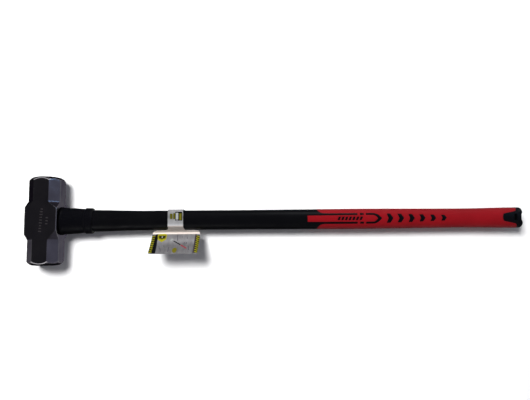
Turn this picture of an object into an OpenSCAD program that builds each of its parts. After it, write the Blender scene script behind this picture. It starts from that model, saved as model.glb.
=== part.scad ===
// Double-faced octagonal sledgehammer with a bonded fibreglass handle and its paper tag.
//
// The hammer lies on one cheek, as it does on a bench. +X runs along the handle from the crown of
// the head to the butt, +Y along the head from one striking face to the other, and +Z is up. The
// origin is on the ground, under the middle of the hammer's length.
//
// Every module draws in handle coordinates: x = 0 at the crown of the head, y = z = 0 on the axis
// of the handle. in_place() then moves the piece into the hammer's own frame.

/* [Overall] */
// Length from the crown of the head to the end of the butt
overall_length = 914; // [880:1:960]
// Thickness of the handle divided by its height, on every oval section
oval_ratio = 0.82; // [0.8:0.01:0.9]

/* [Head] */
// Width across the flats, which is also the side of the square cheek
head_width = 57; // [55:0.5:60]
// Length from striking face to striking face
head_length = 162; // [150:1:180]
// Length of the full square section at the cheeks
cheek_length = 44; // [38:1:50]
// Width of each of the four flats at the striking ends, between the corner chamfers
flat_width = 26.4; // [20:0.2:32]
// Length over which each corner chamfer runs out into the square cheek
runout_length = 14; // [10:1:18]
// Radius of the flat disc in the middle of a striking face
face_radius = 19; // [18:0.5:20]
// Radius of the turned rounding between that disc and the octagon
face_rounding = 14; // [14:0.5:18]
// Height of the eye, along Y
eye_height = 37; // [34:1:40]
// Width of the eye, along Z
eye_width = 28; // [26:1:30]

/* [Handle] */
// Height of the fibreglass core
core_height = 27; // [24:0.5:28]
// Thickness of the fibreglass core
core_thickness = 20; // [18:0.5:20.5]
// Half height of the jacket at the collar
neck_half = 20; // [19:0.1:20.4]
// Half height of the shaft at its waist
waist_half = 18.1; // [17.8:0.1:18.2]
// Half height of the grip at the palm swell
palm_half = 19; // [18.6:0.1:20]
// Half height of the grip in front of the butt
heel_half = 18.2; // [17.8:0.1:18.6]
// Half height of the butt flare
flare_half = 19.5; // [19:0.1:20.5]

/* [Collar] */
// Length of the overstrike collar, bead included
collar_length = 58; // [52:1:64]
// Half height of the collar against the head
collar_half = 25.2; // [24:0.1:26]
// Half height of the collar in front of its bead
collar_end_half = 22.3; // [21.8:0.1:23]
// Length of the bead
bead_length = 13.5; // [10:0.5:15]
// Half height of the bead
bead_half = 23.6; // [23.2:0.1:24.4]

/* [Grip] */
// Distance from the butt end to the tip of the red strip
grip_length = 404; // [396:1:412]
// Thickness of the soft red cover
cover_wall = 2.2; // [1.6:0.1:2.4]
// Half height of the red strip in the middle of the grip
strip_half = 6.4; // [5.6:0.1:6.6]
// Height of the black line each side of the strip
line_height = 3.3; // [2:0.1:3.4]
// Number of chevrons on each side of the grip
chevron_count = 6; // [3:1:7]
// Distance from one chevron to the next
chevron_pitch = 20.4; // [18:0.1:22]
// Width of the hanging slot through the butt cap
slot_width = 5.4; // [4.8:0.1:6]
// Height of the hanging slot
slot_height = 12.6; // [11:0.1:14]

/* [Tag] */
// Thickness of the card
card = 0.6; // [0.5:0.1:0.8]
// Width of the strap that goes round the shaft
strap_width = 28; // [20:1:36]
// Width of the card panel
panel_width = 88; // [70:1:90]
// Length of the card panel from its fold to its free edge
panel_length = 50.5; // [40:0.5:52]
// Slope of the card panel at rest
panel_rise = 41; // [30:1:60]

/* [Hidden] */

$fn = 48;
sides = 40; // corners of an oval section
reach = 60; // farther to each side of the handle than any piece of it
gap = 0.05; // between two faceted surfaces that lie on each other

half = head_width / 2;
chamfer_depth = (half - flat_width / 2) / sqrt(2);
crown_gap = 1.5; // depth of the core and the resin below the crown
dam_thickness = 4;

// Places along the handle
collar_end = head_width + collar_length;
taper_end = head_width + 148;
waist_x = overall_length - 534;
grip_start = overall_length - grip_length;
palm_x = grip_start + 90;
heel_x = overall_length - 114;
flare_x = overall_length - 10;
sleeve_end = overall_length - 22;
core_end = overall_length - 25;
end_round = 4.5; // length of the rounding at the end of the butt
end_inset = 5.5; // how far that rounding draws in

// The black jacket's boundary with the red cover, and the pattern on the grip
line_outer = strip_half + line_height;
shoulder_x = grip_start + 18;
shoulder_end = grip_start + 33;
line_end = grip_start + 93;
dash_start = grip_start + 97.5;
dash_end = grip_start + 104.7;
arch_start = grip_start + 108.6;
arch_bend = grip_start + 121.5;
arch_tip = grip_start + 138.4;
arch_inner_tip = arch_tip - 7.7;
bars_start = grip_start + 56.5;
bar_count = 7;
bar_pitch = 6.8;
bar_width = 4;
bar_half = 3.3;
bar_slant = 1.4;
chevron_start = grip_start + 146.9;
chevron_half = 8.8;
chevron_span = 12.5; // from the ends of its arms to its tip
chevron_arm = 7.2; // width of its arms, along the handle

// The butt cap, its tongue and its slot
tongue_tip = overall_length - 39;
tongue_half = 7;
cap_edge = overall_length - 9.5;
slot_x = overall_length - 15;
saddle_depth = 2.4;
saddle_flat = 5; // half height of its straight bottom
saddle_curve = 4; // from there to where it meets the end of the cap, on each side
saddle_radius = (saddle_curve * saddle_curve + saddle_depth * saddle_depth) / (2 * saddle_depth);

// The tag
tag_x = 267.6;
fold = [-24, -1]; // y and z of the fold between the band and the panel
fold_gap = 1; // from the fold line to the start of the panel
crease_radius = 0.38; // round edge of the band, on the fold line
band_root = [-19.8, 1.55]; // where the wide band leaves the strap
band_corner = 3.5;
panel_corner = 4;

// The strap's inside, across the handle: rounded corners as [y, z, radius, from angle, to angle]
strap_corners = [
  [10.95, 7.65, 8, 0, 90],
  [-10.8, 14.95, 0.7, 90, 148],
  [-18.3, 1.35, 2, 148, 202],
  [-8.6, -7.65, 8, 202, 270],
  [10.95, -7.65, 8, 270, 360]
];

function mix(a, b, t) = a + (b - a) * t;
function ease(t) = (1 - cos(180 * t)) / 2;
function spread(from, to, steps) = [for (i = [0 : steps]) mix(from, to, i / steps)];
function bend(a, b, c, t) = mix(mix(a, b, t), mix(b, c, t), t);
function curve(a, b, c, steps = 6) = [for (i = [0 : steps]) bend(a, b, c, i / steps)];
function backwards(path) = [for (i = [len(path) - 1 : -1 : 0]) path[i]];
function mirrored(path) = [for (p = backwards(path)) if (p.y != 0) [p.x, -p.y]];

// Half height of the outside of the handle, smooth from each of these places to the next
stations = [
  [0, neck_half], [collar_end, neck_half], [taper_end, waist_half + 0.1], [waist_x, waist_half],
  [grip_start - 12, waist_half + 0.4], [grip_start + 20, waist_half + 0.6],
  [palm_x, palm_half], [heel_x, heel_half], [flare_x, flare_half],
  [overall_length + 1, flare_half]
];
function stretch(x, i = 0) = x < stations[i + 1].x ? i : stretch(x, i + 1);
function half_on(x, a, b) = mix(a.y, b.y, ease((x - a.x) / (b.x - a.x)));
function half_height(x) = half_on(x, stations[stretch(x)], stations[stretch(x) + 1]);
function section(x, inset = 0) =
  [x, half_height(x) - inset, half_height(x) * oval_ratio - inset];

module in_place() {
  translate([-overall_length / 2, 0, half])
    children();
}

// A solid through oval sections, each [x, half height, half thickness]
module oval_loft(sections) {
  last = len(sections) - 1;
  points = [
    for (s = sections) for (i = [0 : sides - 1])
      [s[0], s[1] * cos(360 * i / sides), s[2] * sin(360 * i / sides)]
  ];
  walls = [
    for (k = [0 : last - 1]) for (i = [0 : sides - 1])
      let (j = (i + 1) % sides)
      [k * sides + i, (k + 1) * sides + i, (k + 1) * sides + j, k * sides + j]
  ];
  first_face = [for (i = [0 : sides - 1]) i];
  last_face = [for (i = [sides - 1 : -1 : 0]) last * sides + i];
  polyhedron(points, concat([first_face], walls, [last_face]));
}

module handle_form(from, to, steps, inset = 0) {
  oval_loft([for (x = spread(from, to, steps)) section(x, inset)]);
}

// A bar with two flat sides and half-round edges
module oval_bar(height, thickness, from, to) {
  translate([from, 0, 0])
    rotate([90, 0, 90])
      linear_extrude(to - from)
        union() {
          square([height - thickness, thickness], center = true);
          for (side = [-1, 1])
            translate([side * (height - thickness) / 2, 0])
              circle(d = thickness);
        }
}

// Everything over and under a plan outline, or only over it, or only under it
module both_sides() {
  translate([0, 0, -reach])
    linear_extrude(2 * reach)
      children();
}

module upper_side() {
  linear_extrude(reach)
    children();
}

module lower_side() {
  mirror([0, 0, 1])
    linear_extrude(reach)
      children();
}

// ---- Head -----------------------------------------------------------------------------------

// What is ground off one corner of the square bar, from the run-out to the striking face
module corner_chamfer() {
  start = cheek_length / 2;
  slope = runout_length / chamfer_depth;
  rotate([90, 0, 90])
    translate([0, 0, -head_width])
      linear_extrude(2 * head_width)
        polygon([
          [start - 10 * slope, 10], [start + runout_length, -chamfer_depth],
          [head_length, -chamfer_depth], [head_length, 10]
        ]);
}

module head_chamfers() {
  for (quarter = [0 : 3])
    translate([half, 0, 0])
      rotate([0, 45 + 90 * quarter, 0])
        translate([0, 0, half * sqrt(2)])
          for (end = [0, 1])
            mirror([0, end, 0])
              corner_chamfer();
}

// The turned form of the striking faces: a flat disc whose edge rounds away
module face_envelope() {
  arc_y = head_length / 2 - face_rounding;
  translate([half, 0, 0])
    rotate([90, 0, 0])
      rotate_extrude($fn = 96)
        union() {
          translate([0, -arc_y])
            square([head_width, 2 * arc_y]);
          translate([0, -head_length / 2])
            square([face_radius, head_length]);
          for (end = [-1, 1])
            translate([face_radius, end * arc_y])
              circle(face_rounding);
        }
}

module hammer_head() {
  color("#3a3540")
    in_place()
      difference() {
        intersection() {
          translate([0, -head_length / 2, -half])
            cube([head_width, head_length, head_width]);
          face_envelope();
        }
        head_chamfers();
        oval_bar(eye_height, eye_width, -1, head_width + 1);
      }
}

// ---- What bonds the handle into the head ------------------------------------------------------

module eye_filling(from, to) {
  difference() {
    oval_bar(eye_height, eye_width, from, to);
    oval_bar(core_height, core_thickness, from - 1, to + 1);
  }
}

module eye_resin() {
  color("#c9a43c")
    in_place()
      eye_filling(crown_gap, head_width - dam_thickness);
}

module resin_dam() {
  color("#4a4a4a")
    in_place()
      eye_filling(head_width - dam_thickness, head_width);
}

module core_rod() {
  color("#d8c98a")
    in_place()
      oval_bar(core_height, core_thickness, crown_gap, core_end);
}

// ---- Plan outlines on the grip ----------------------------------------------------------------

// Where the surface is red: the strip from its blunt end, and the two sides from their shoulders
module red_plan() {
  end = overall_length + 10;
  strip = [
    [grip_start, 0], [grip_start, strip_half - 1.2], [grip_start + 0.6, strip_half - 0.4],
    [grip_start + 2, strip_half - 0.2], [line_end, strip_half], [line_end, line_outer]
  ];
  shoulder = curve([shoulder_end, line_outer], [shoulder_x + 3, line_outer],
                   [shoulder_x, waist_half + 1]);
  upper = concat(strip, shoulder, [[shoulder_x, reach], [end, reach]]);
  polygon(concat(upper, mirrored(upper)));
}

module outline_plan() {
  for (side = [0, 1])
    mirror([0, side])
      translate([dash_start, strip_half])
        square([dash_end - dash_start, line_height]);
  outer = concat(
    [[arch_start, line_outer]],
    curve([arch_bend, line_outer], [arch_bend + 8.5, line_outer], [arch_tip, 0])
  );
  inner = concat(
    [[arch_start, strip_half]],
    curve([arch_bend, strip_half], [arch_bend + 5, strip_half], [arch_inner_tip, 0])
  );
  polygon(concat(outer, mirrored(outer), backwards(concat(inner, mirrored(inner)))));
}

module bars_plan() {
  for (i = [0 : bar_count - 1])
    translate([bars_start + bar_pitch * i, 0])
      polygon([
        [-bar_slant, -bar_half], [bar_width - bar_slant, -bar_half],
        [bar_width + bar_slant, bar_half], [bar_slant, bar_half]
      ]);
}

// Each chevron is lower and shorter than the last
module chevron_plan(step) {
  high = chevron_half * (1 - 0.06 * step);
  span = chevron_span * (1 - 0.03 * step);
  arm = chevron_arm * (1 - 0.02 * step);
  notch = span - 1.25 * arm;
  translate([chevron_start + chevron_pitch * step, 0])
    polygon([[0, high], [arm, high], [span, 0], [arm, -high], [0, -high], [notch, 0]]);
}

module chevrons_plan() {
  for (step = [0 : chevron_count - 1])
    chevron_plan(step);
}

// Where the surface belongs to the butt cap: its tongue, and everything past the cover's end
module cap_plan() {
  shoulder = concat(
    curve([tongue_tip, 0], [tongue_tip, tongue_half - 0.6], [tongue_tip + 4, tongue_half]),
    curve([tongue_tip + 5, tongue_half + 0.2], [overall_length - 17, 11], [cap_edge, flare_half]),
    [[cap_edge, reach], [overall_length + 10, reach]]
  );
  polygon(concat(shoulder, mirrored(shoulder)));
}

// ---- Handle -----------------------------------------------------------------------------------

// The jacket shows as the shaft and as the two lines beside the strip, and runs on under the cover
module shaft_jacket() {
  color("#1b1b1d")
    in_place()
      difference() {
        union() {
          difference() {
            handle_form(head_width, line_end, 26);
            both_sides()
              red_plan();
          }
          handle_form(grip_start - 1, sleeve_end, 18, cover_wall);
        }
        oval_bar(core_height, core_thickness, 0, overall_length);
      }
}

module overstrike_collar() {
  rise = bead_half - collar_end_half;
  bead_start = collar_end - bead_length;
  profile = [
    [head_width, collar_half], [bead_start - 0.8, collar_end_half],
    [bead_start + 0.4, collar_end_half + 0.7 * rise], [bead_start + 2, bead_half],
    [collar_end - 3, bead_half], [collar_end - 0.9, collar_end_half + 0.3 * rise],
    [collar_end, collar_end_half - 1.4]
  ];
  color("#1d1d20")
    in_place()
      difference() {
        oval_loft([for (p = profile) [p.x, p.y, p.y * oval_ratio]]);
        handle_form(head_width - 1, collar_end + 1, 1, -gap);
      }
}

module cover_shell(from, to, steps) {
  difference() {
    handle_form(from, to, steps);
    handle_form(from - 1, to + 1, steps, cover_wall - gap);
  }
}

module grip_cover() {
  color("#b01c2a")
    in_place()
      difference() {
        intersection() {
          cover_shell(grip_start, cap_edge, 24);
          both_sides()
            red_plan();
        }
        both_sides()
          union() {
            outline_plan();
            bars_plan();
            chevrons_plan();
            cap_plan();
          }
      }
}

module inlay(from_x = dash_start - 2, to_x = arch_tip + 2) {
  color("#1b1b1d")
    in_place()
      intersection() {
        cover_shell(from_x, to_x, 3);
        children();
      }
}

module grip_outline_upper() {
  inlay()
    upper_side()
      outline_plan();
}

module grip_outline_lower() {
  inlay()
    lower_side()
      outline_plan();
}

module grip_bars(from_x = bars_start - 4, to_x = bars_start + bar_pitch * bar_count + 2) {
  inlay(from_x, to_x)
    children();
}

module grip_bars_upper() {
  grip_bars()
    upper_side()
      bars_plan();
}

module grip_bars_lower() {
  grip_bars()
    lower_side()
      bars_plan();
}

module grip_chevrons() {
  inlay(chevron_start - 2, chevron_start + chevron_pitch * chevron_count)
    children();
}

module grip_chevrons_upper() {
  grip_chevrons()
    upper_side()
      chevrons_plan();
}

module grip_chevrons_lower() {
  grip_chevrons()
    lower_side()
      chevrons_plan();
}

module butt_form() {
  rim = overall_length - end_round;
  oval_loft(concat(
    [for (x = spread(tongue_tip - 1, rim, 6)) section(x)],
    [for (a = [22.5 : 22.5 : 90]) section(rim, end_inset * (1 - cos(a))) + [end_round * sin(a), 0, 0]]
  ));
}

module butt_cap() {
  color("#1b1b1d")
    in_place()
      difference() {
        union() {
          intersection() {
            butt_form();
            both_sides()
              cap_plan();
          }
          handle_form(sleeve_end, overall_length - 4, 3, cover_wall);
        }
        handle_form(tongue_tip - 5, sleeve_end, 4, cover_wall - gap);
        translate([slot_x, 0, 0])
          cube([slot_width, slot_height, 2 * reach], center = true);
        hull()
          for (side = [-1, 1])
            translate([overall_length - saddle_depth + saddle_radius, side * saddle_flat, -reach])
              cylinder(r = saddle_radius, h = 2 * reach);
      }
}

// ---- Tag --------------------------------------------------------------------------------------

function strap_path(grow) = [
  for (c = strap_corners) for (a = spread(c[3], c[4], 4))
    [c[0] + (c[2] + grow) * cos(a), c[1] + (c[2] + grow) * sin(a)]
];

// Draws a [y, z] outline as a plate of the given width, centred on the tag
module across(width) {
  translate([tag_x - width / 2, 0, 0])
    rotate([90, 0, 90])
      linear_extrude(width)
        children();
}

// The outline of a card from one distance from the fold to another, with round far corners
function leaf_outline(from, to, corner) = concat(
  [[-panel_width / 2, from], [panel_width / 2, from]],
  [for (side = [1, -1]) for (a = spread(side > 0 ? 0 : 90, side > 0 ? 90 : 180, 6))
    [side * (panel_width / 2 - corner) + corner * cos(a), to - corner + corner * sin(a)]]
);

// A card that lies at an angle from the fold, in the plane across the handle
module card_leaf(angle, from, to, corner) {
  translate([tag_x, fold[0], fold[1]])
    rotate([angle, 0, 0])
      translate([0, 0, -card / 2])
        linear_extrude(card)
          polygon(leaf_outline(from, to, corner));
}

module tag_strap() {
  band = band_root - fold;
  color("#e6e3da")
    in_place()
      union() {
        across(strap_width)
          difference() {
            polygon(strap_path(card));
            polygon(strap_path(0));
          }
        card_leaf(atan2(band.y, band.x), 0, norm(band), band_corner);
        translate([tag_x - panel_width / 2, fold[0], fold[1]])
          rotate([0, 90, 0])
            cylinder(r = crease_radius, h = panel_width);
      }
}

module tag_panel() {
  color("#d9c34a")
    in_place()
      card_leaf(180 - panel_rise, fold_gap, panel_length, panel_corner);
}

hammer_head();
eye_resin();
resin_dam();
core_rod();
shaft_jacket();
overstrike_collar();
grip_cover();
grip_outline_upper();
grip_outline_lower();
grip_bars_upper();
grip_bars_lower();
grip_chevrons_upper();
grip_chevrons_lower();
butt_cap();
tag_strap();
tag_panel();
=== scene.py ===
"""Looks of a long-handled sledgehammer: forged octagonal head, two-colour handle and paper tag.

Shapes are worked out in handle millimetres: x = 0 at the crown of the head and grows towards the
butt, y runs along the head, z is up, and y = z = 0 is the axis of the handle. to_row() turns such
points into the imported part's own frame, in metres.
"""

import math

import bpy
import numpy as np
from mathutils import Matrix, Vector
from mathutils.geometry import delaunay_2d_cdt


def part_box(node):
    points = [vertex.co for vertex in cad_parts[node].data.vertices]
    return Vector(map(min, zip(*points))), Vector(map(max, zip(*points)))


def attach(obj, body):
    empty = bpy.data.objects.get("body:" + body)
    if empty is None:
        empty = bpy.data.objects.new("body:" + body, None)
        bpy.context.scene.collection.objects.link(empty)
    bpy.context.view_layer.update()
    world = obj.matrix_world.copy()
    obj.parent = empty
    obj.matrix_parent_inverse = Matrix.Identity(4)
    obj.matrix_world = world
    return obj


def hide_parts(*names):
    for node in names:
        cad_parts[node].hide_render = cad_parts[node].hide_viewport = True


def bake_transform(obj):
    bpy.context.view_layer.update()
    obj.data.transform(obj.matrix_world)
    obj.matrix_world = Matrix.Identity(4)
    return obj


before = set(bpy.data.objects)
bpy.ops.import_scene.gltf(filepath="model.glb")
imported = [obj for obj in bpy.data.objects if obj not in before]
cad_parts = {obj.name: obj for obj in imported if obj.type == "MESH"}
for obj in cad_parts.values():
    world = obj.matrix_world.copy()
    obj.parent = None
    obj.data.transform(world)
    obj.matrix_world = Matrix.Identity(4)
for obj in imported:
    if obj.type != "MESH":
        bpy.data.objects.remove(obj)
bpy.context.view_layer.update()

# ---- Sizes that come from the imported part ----
MM = 1000.0
HEAD_LOW, HEAD_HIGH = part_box("hammer_head")
CROWN_X = HEAD_LOW.x
AXIS_Z = (HEAD_LOW.z + HEAD_HIGH.z) / 2
HALF = (HEAD_HIGH.x - HEAD_LOW.x) * MM / 2
HEAD_HALF_LENGTH = (HEAD_HIGH.y - HEAD_LOW.y) * MM / 2
END = (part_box("butt_cap")[1].x - CROWN_X) * MM
STRAP_X = ((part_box("tag_strap")[0].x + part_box("tag_strap")[1].x) / 2 - CROWN_X) * MM
PANEL_HALF = (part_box("tag_panel")[1].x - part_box("tag_panel")[0].x) * MM / 2
HEAD_END = 2 * HALF
COLLAR_END = (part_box("overstrike_collar")[1].x - CROWN_X) * MM
GRIP = (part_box("grip_cover")[0].x - CROWN_X) * MM

# ---- Sizes of the handle, in millimetres ----
OVAL = 0.82  # thickness of the handle over its height
RADIUS = 16.5  # of the circle that the flat patterns are laid out on
SIDE = math.pi / 2 * RADIUS  # the layout's edge, where the upper side meets the lower
MIRROR = np.array([1, -1])  # turns a plan line over the handle's axis
COVER_WALL = 2.2
STRIP_START, STRIP_HALF = 5.9, 6.4  # half height of the red strip at its start and at its end
LINE_OUTER = 10.0  # half height over the black lines beside the strip
SHOULDER = GRIP + 18
SHOULDER_END = GRIP + 33
LINE_END = GRIP + 93
TONGUE_TIP = END - 39
CAP_EDGE = END - 9.5
END_ROUND, END_INSET = 4.5, 5.5  # length and depth of the rounding at the end of the butt
NECK, FLARE = 20.0, 19.5

STATIONS = np.array([
    (0, NECK), (COLLAR_END, NECK), (HEAD_END + 148, 18.2), (END - 534, 18.1), (GRIP - 12, 18.5),
    (GRIP + 20, 18.7), (GRIP + 90, 19.0), (END - 114, 18.2), (END - 10, FLARE), (END + 99, FLARE),
])


# ---- Curves and outlines ----
def to_row(points):
    """Handle millimetres to metres in the part's own frame."""
    return np.asarray(points, float) / MM + [CROWN_X, 0.0, AXIS_Z]


def smooth(t):
    t = np.clip(t, 0.0, 1.0)
    return t * t * (3 - 2 * t)


def half_height(x):
    """Half height of the handle's outside, smooth from one station to the next."""
    x = np.asarray(x, float)
    i = np.clip(np.searchsorted(STATIONS[:, 0], x, side="right") - 1, 0, len(STATIONS) - 2)
    (x0, h0), (x1, h1) = STATIONS[i].T, STATIONS[i + 1].T
    return h0 + (h1 - h0) * (1 - np.cos(np.pi * np.clip((x - x0) / (x1 - x0), 0, 1))) / 2


def on_side(points):
    """Plan points on the handle as [x, distance round it]: the flat layout of its upper side."""
    x, y = np.asarray(points, float).T
    return np.column_stack([x, np.arcsin(np.clip(y / half_height(x), -1, 1)) * RADIUS])


def handle_surface(uv, lift):
    x, phi = uv[:, 0], uv[:, 1] / RADIUS
    b = half_height(x)
    return np.column_stack([x, (b + lift) * np.sin(phi), (b * OVAL + lift) * np.cos(phi)])


def bezier(a, b, c, steps):
    t = np.linspace(0, 1, steps + 1)[:, None]
    a, b, c = (np.asarray(p, float) for p in (a, b, c))
    return (1 - t) ** 2 * a + 2 * t * (1 - t) * b + t ** 2 * c


def corner_curve(before, here, after, reach, share, steps):
    """A curve round a corner, from reach before it to reach after it, or a share of each side."""
    arms = [other - here for other in (before, after)]
    start, stop = (here + arm * min(reach / np.linalg.norm(arm), share) for arm in arms)
    return bezier(start, here, stop, steps)


def rounded(path, radius, closed=True, steps=4):
    """A polygon or line with its corners rounded off."""
    path = np.asarray(path, float)
    n = len(path)
    out = [] if closed else [path[0]]
    for i in range(n) if closed else range(1, n - 1):
        out.extend(corner_curve(path[i - 1], path[i], path[(i + 1) % n], radius, 0.45, steps))
    return np.array(out if closed else [*out, path[-1]])


def ellipse(cx, cy, rx, ry):
    a = np.linspace(0, 2 * np.pi, 28, endpoint=False)
    return np.column_stack([cx + rx * np.cos(a), cy + ry * np.sin(a)])


def bar(cx, cy, length, width, turn=0.0, corner=0.4):
    """A rounded bar, length along x before it is turned."""
    a, b = length / 2, width / 2
    path = rounded([(-a, -b), (a, -b), (a, b), (-a, b)], min(corner, b, a))
    c, s = math.cos(math.radians(turn)), math.sin(math.radians(turn))
    return path @ [[c, s], [-s, c]] + [cx, cy]


def resample(path, step, closed=True):
    """The same line with points no farther apart than step."""
    path = np.asarray(path, float)
    ends = np.roll(path, -1, axis=0) if closed else path[1:]
    out = []
    for p, q in zip(path, ends):
        n = max(1, math.ceil(np.linalg.norm(q - p) / step))
        out.extend(p + (q - p) * k / n for k in range(n))
    if not closed:
        out.append(path[-1])
    return np.array(out)


def area(loop):
    x, y = loop.T
    return 0.5 * np.sum(x * np.roll(y, -1) - np.roll(x, -1) * y)


def inside(points, loops):
    """Whether each point is inside an odd number of the loops."""
    odd = np.zeros(len(points), bool)
    x, y = points.T
    for loop in loops:
        for (x0, y0), (x1, y1) in zip(loop, np.roll(loop, -1, axis=0)):
            if y0 != y1:
                odd ^= ((y0 > y) != (y1 > y)) & (x < (x1 - x0) * (y - y0) / (y1 - y0) + x0)
    return odd


# ---- Meshes ----
def in_scene(name, data):
    """A new object, linked to the scene."""
    obj = bpy.data.objects.new(name, data)
    bpy.context.scene.collection.objects.link(obj)
    return obj


def new_object(name, vertices, faces, *materials, sharp=35.0):
    mesh = bpy.data.meshes.new(name)
    mesh.from_pydata([tuple(v) for v in vertices], [], [tuple(int(i) for i in f) for f in faces])
    mesh.validate()
    mesh.shade_smooth()
    mesh.set_sharp_from_angle(angle=math.radians(sharp))
    for material in materials:
        mesh.materials.append(material)
    return in_scene(name, mesh)


def trimmed_layout(outer, holes, step, lip, join_at=np.inf):
    """Triangles over a flat outline with holes. Points on a cut edge come back with drop 1, and
    two more rows of points, up to a lip's width in, with less and with none. Edges at
    |y| = join_at are joins to a mirrored half, so they have no lip."""
    loops = [resample(loop, step) for loop in (outer, *holes)]
    loops = [l if (area(l) > 0) == (k == 0) else l[::-1] for k, l in enumerate(loops)]
    points, edges, drop = [], [], []
    for loop in loops:
        n = len(loop)
        on_join = np.abs(np.abs(loop[:, 1]) - join_at) < 1e-6
        join_next, join_before = np.roll(on_join, -1), np.roll(on_join, 1)
        start = np.where((on_join & ~join_next)[:, None], loop, np.roll(loop, 1, axis=0))
        stop = np.where((on_join & ~join_before)[:, None], loop, np.roll(loop, -1, axis=0))
        along = stop - start
        along /= np.maximum(np.linalg.norm(along, axis=1), 1e-9)[:, None]
        inward = np.column_stack([-along[:, 1], along[:, 0]])
        cut_edge = ~(on_join & join_before & join_next)
        ends = cut_edge & on_join
        inward[ends] = np.sign(inward[ends]) * [1, 0]
        base = len(points)
        points.extend(loop)
        drop.extend(np.where(cut_edge, 1.0, 0.0))
        edges.extend((base + i, base + (i + 1) % n) for i in range(n))
        rows = np.flatnonzero(cut_edge)
        for share, part in ((0.35, 0.3), (1.0, 0.0)):
            index = {i: len(points) + k for k, i in enumerate(rows)}
            points.extend(loop[rows] + inward[rows] * lip * share)
            drop.extend([part] * len(rows))
            edges.extend((index[i], index[(i + 1) % n]) for i in index if (i + 1) % n in index)
    low, high = loops[0].min(0), loops[0].max(0)
    grid = np.meshgrid(*(np.arange(a + step / 2, b, step) for a, b in zip(low, high)))
    grid = np.column_stack([g.ravel() for g in grid])
    grid = grid[inside(grid, loops)]
    near = np.full(len(grid), np.inf)
    for p in points:
        near = np.minimum(near, np.sum((grid - p) ** 2, axis=1))
    grid = grid[near > (0.55 * step) ** 2]
    values = np.concatenate([drop, np.zeros(len(grid))])
    verts, _, faces, origin, _, _ = delaunay_2d_cdt(
        [Vector(p) for p in np.vstack([points, grid])], edges, [], 0, 1e-5)
    verts = np.array([tuple(v) for v in verts])
    drops = np.array([min((values[k] for k in o), default=0.0) for o in origin])
    faces = np.array([f for f in faces if len(f) == 3])
    faces = faces[inside(verts[faces].mean(axis=1), loops)]
    return verts, faces, drops


def merged(points, faces):
    """The same mesh with coincident points made one and empty faces dropped."""
    _, first, index = np.unique(np.round(points, 4), axis=0, return_index=True,
                                return_inverse=True)
    faces = index.reshape(-1)[faces]
    return first, faces[np.all(faces != np.roll(faces, 1, axis=1), axis=1)]


def plate(name, layout, surface, thickness, drop, material, lift=0.0, both=False, lower=False):
    """A closed sheet of the layout's shape on a surface. Both mirrors it onto the underside and
    joins the halves; lower puts it on the underside alone."""
    uv, faces, drops = layout
    top = surface(uv, lift - drop * drops)
    under = surface(uv, np.full(len(uv), lift - thickness))
    flip = [1, 1, -1]
    if lower:
        top, under, faces = top * flip, under * flip, faces[:, ::-1]
    if both:
        n = len(uv)
        top, under = np.vstack([top, top * flip]), np.vstack([under, under * flip])
        faces = np.vstack([faces, faces[:, ::-1] + n])
    first, faces = merged(top, faces)
    top, under = top[first], under[first]
    n = len(top)
    sides = {(int(f[k]), int(f[k - 2])) for k in range(3) for f in faces}
    walls = [(b, a, a + n, b + n) for a, b in sides if (b, a) not in sides]
    solid = [tuple(f) for f in faces] + [tuple(f[::-1] + n) for f in faces] + walls
    return new_object(name, to_row(np.vstack([top, under])), solid, material)


def oval_rings(sections, sides):
    """Rings of points for oval sections [x, half height, half thickness]."""
    a = np.linspace(0, 2 * np.pi, sides, endpoint=False)
    return [np.column_stack([np.full(sides, x), h * np.sin(a), t * np.cos(a)])
            for x, h, t in sections]


def stadium_rings(sections):
    """Rings for sections with two straight sides and round ends, each [x, height, thickness]."""
    a = np.linspace(-np.pi / 2, np.pi / 2, 17)
    rings = []
    for x, height, thickness in sections:
        r = thickness / 2
        half = np.column_stack([height / 2 - r + r * np.cos(a), r * np.sin(a)])
        rings.append(np.column_stack([np.full(2 * len(half), x), np.vstack([half, -half])]))
    return rings


def ring_faces(n, count, closed):
    """Quads between rings of n points. Closed ones run on from the last ring to the first."""
    faces = []
    for k in range(count if closed else count - 1):
        for i in range(n):
            j, m = (i + 1) % n, (k + 1) % count
            faces.append((k * n + i, k * n + j, m * n + j, m * n + i))
    return faces


def loft(name, rings, material, closed=True):
    """A skin over rings of points. A closed one makes a ring, an open one is capped."""
    n, count = len(rings[0]), len(rings)
    faces = ring_faces(n, count, closed)
    if not closed:
        faces += [tuple(range(n))[::-1], tuple(range((count - 1) * n, count * n))]
    return new_object(name, to_row(np.vstack(rings)), faces, material)


def join(name, *objects):
    """Several meshes as the islands of one."""
    verts, faces, slots, materials = [], [], [], []
    for o in objects:
        base = len(verts)
        materials += [m for m in o.data.materials if m not in materials]
        verts.extend(tuple(v.co) for v in o.data.vertices)
        for p in o.data.polygons:
            faces.append(tuple(i + base for i in p.vertices))
            slots.append(materials.index(o.data.materials[p.material_index]))
        bpy.data.objects.remove(o)
    joined = new_object(name, verts, faces, *materials)
    joined.data.polygons.foreach_set("material_index", slots)
    return joined


# ---- Materials ----
def shader(name, base, roughness, metallic=0.0, specular=0.5, coat=0.0):
    """A new material, its node tree and its shader."""
    m = bpy.data.materials.new(name)
    m.use_nodes = True
    bsdf = m.node_tree.nodes["Principled BSDF"]
    for socket, value in (("Base Color", (*base, 1)), ("Roughness", roughness),
                          ("Metallic", metallic), ("Specular IOR Level", specular),
                          ("Coat Weight", coat), ("Coat Roughness", 0.1)):
        bsdf.inputs[socket].default_value = value
    return m, m.node_tree, bsdf


def add_node(tree, kind, inputs, **settings):
    """A new node with the given settings, its inputs set to values or linked to sockets."""
    node = tree.nodes.new("ShaderNode" + kind)
    for name, value in settings.items():
        setattr(node, name, value)
    for name, value in inputs.items():
        if isinstance(value, bpy.types.NodeSocket):
            tree.links.new(value, node.inputs[name])
        else:
            node.inputs[name].default_value = value
    return node


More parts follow.
